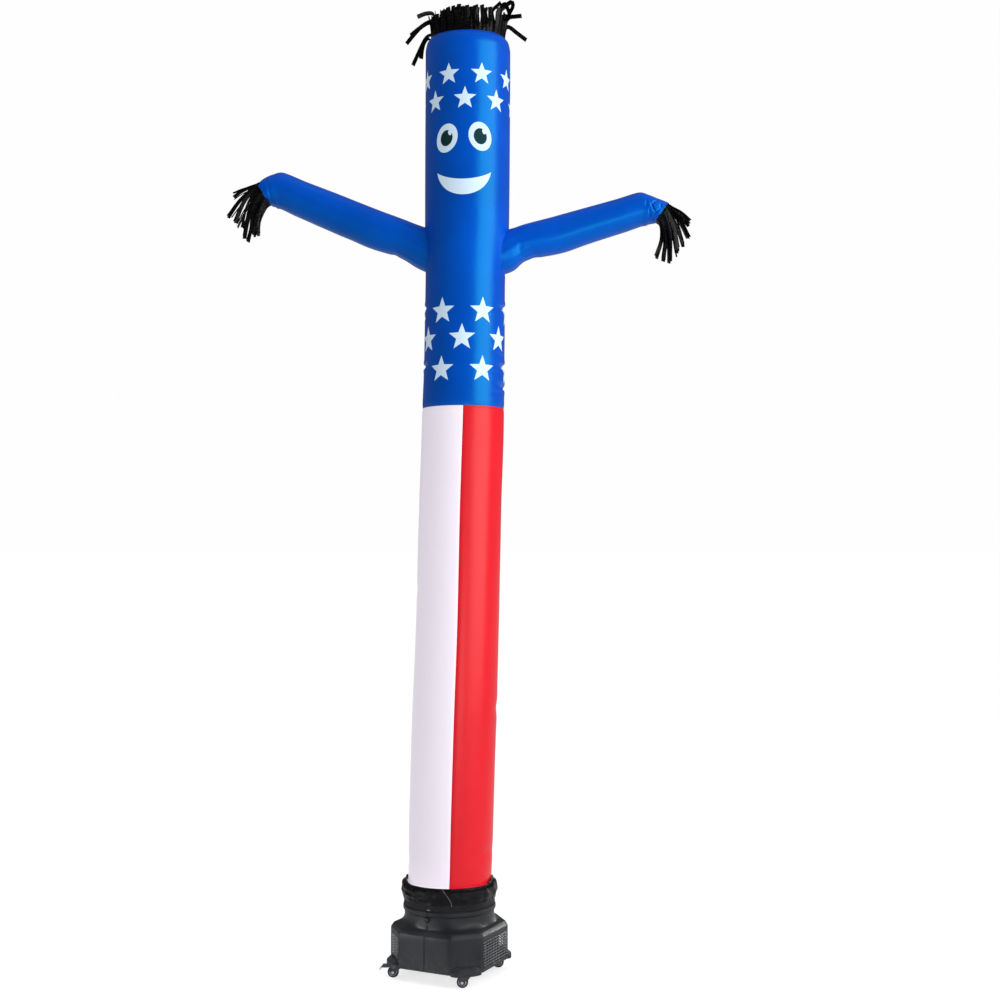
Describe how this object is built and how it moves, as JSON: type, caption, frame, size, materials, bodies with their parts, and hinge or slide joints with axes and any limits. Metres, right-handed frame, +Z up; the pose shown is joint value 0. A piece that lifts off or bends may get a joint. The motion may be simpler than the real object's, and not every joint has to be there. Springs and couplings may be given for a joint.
{
  "type": "inflatable air dancer on its wheeled blower",
  "caption": "Inflatable tube figure with a smiling face, starred blue top, white and red legs, two arms and strip fringes, its black collar fitted over a wheeled blower.",
  "frame": {"origin": "on the floor, below the middle of the whole object's box", "axes": "the dancer faces -Y, +X is the viewer's right, +Z is up the tube"},
  "size_m": [1.5919, 0.4118, 3.2841],
  "materials": {
    "blue_nylon": "satin ripstop nylon",
    "white_nylon": "satin ripstop nylon",
    "red_nylon": "satin ripstop nylon",
    "black_nylon": "crinkled coated nylon",
    "strip_black": "shiny coated nylon strip",
    "moulded_grey": "fine satin moulded plastic",
    "hook_tape": "ribbed hook tape",
    "fork_steel": "dark coated pressed steel",
    "tyre_rubber": "black rubber",
    "hub_pale": "pale grey wheel centre",
    "zinc_bolt": "bright plated bolt"
  },
  "bodies": {
    "root": {"torso_blue": "blue_nylon", "arm_left": "blue_nylon", "arm_right": "blue_nylon", "panel_front_left": "white_nylon", "panel_front_right": "red_nylon", "panel_back_left": "red_nylon", "panel_back_right": "white_nylon", "cuff_collar": "black_nylon", "fringe_head": "strip_black", "fringe_left": "strip_black", "fringe_right": "strip_black", "housing_left": "moulded_grey", "housing_right": "moulded_grey", "vent_wide_left": "moulded_grey", "vent_wide_right": "moulded_grey", "vent_corner_left": "moulded_grey", "vent_corner_right": "moulded_grey", "seam_boss_front": "moulded_grey", "seam_boss_back": "moulded_grey", "outlet_guard": "moulded_grey", "floor_pan": "moulded_grey", "hook_band": "hook_tape"},
    "caster_front": {"fork_front": "fork_steel", "axle_front": "zinc_bolt"},
    "caster_left": {"fork_left": "fork_steel", "axle_left": "zinc_bolt", "brake_bracket": "fork_steel"},
    "caster_right": {"fork_right": "fork_steel", "axle_right": "zinc_bolt"},
    "caster_back": {"fork_back": "fork_steel", "axle_back": "zinc_bolt"},
    "wheel_front": {"tyre_front": "tyre_rubber", "hub_front": "hub_pale"},
    "wheel_left": {"tyre_left": "tyre_rubber", "hub_left": "hub_pale"},
    "wheel_right": {"tyre_right": "tyre_rubber", "hub_right": "hub_pale"},
    "wheel_back": {"tyre_back": "tyre_rubber", "hub_back": "hub_pale"},
    "pedal": {"brake_pedal": "fork_steel"}
  },
  "joints": [
    {"name": "swivel_front", "type": "hinge", "parent": "root", "child": "caster_front", "pos_m": [0.02617, -0.17306, 0.044], "axis": [0, 0, 1], "continuous": true},
    {"name": "swivel_left", "type": "hinge", "parent": "root", "child": "caster_left", "pos_m": [-0.21506, -0.06817, 0.044], "axis": [0, 0, 1], "continuous": true},
    {"name": "swivel_right", "type": "hinge", "parent": "root", "child": "caster_right", "pos_m": [0.13106, 0.06817, 0.044], "axis": [0, 0, 1], "continuous": true},
    {"name": "swivel_back", "type": "hinge", "parent": "root", "child": "caster_back", "pos_m": [-0.11017, 0.17306, 0.044], "axis": [0, 0, 1], "continuous": true},
    {"name": "spin_front", "type": "hinge", "parent": "caster_front", "child": "wheel_front", "pos_m": [0.01567, -0.17306, 0.019], "axis": [0, 1, 0], "continuous": true},
    {"name": "spin_left", "type": "hinge", "parent": "caster_left", "child": "wheel_left", "pos_m": [-0.22556, -0.06817, 0.019], "axis": [0, 1, 0], "continuous": true},
    {"name": "spin_right", "type": "hinge", "parent": "caster_right", "child": "wheel_right", "pos_m": [0.12056, 0.06817, 0.019], "axis": [0, 1, 0], "continuous": true},
    {"name": "spin_back", "type": "hinge", "parent": "caster_back", "child": "wheel_back", "pos_m": [-0.12067, 0.17306, 0.019], "axis": [0, 1, 0], "continuous": true},
    {"name": "brake_press", "type": "hinge", "parent": "caster_left", "child": "pedal", "pos_m": [-0.25986, -0.06817, 0.0384], "axis": [0, 1, 0], "range_deg": [-14, 0]}
  ]
}
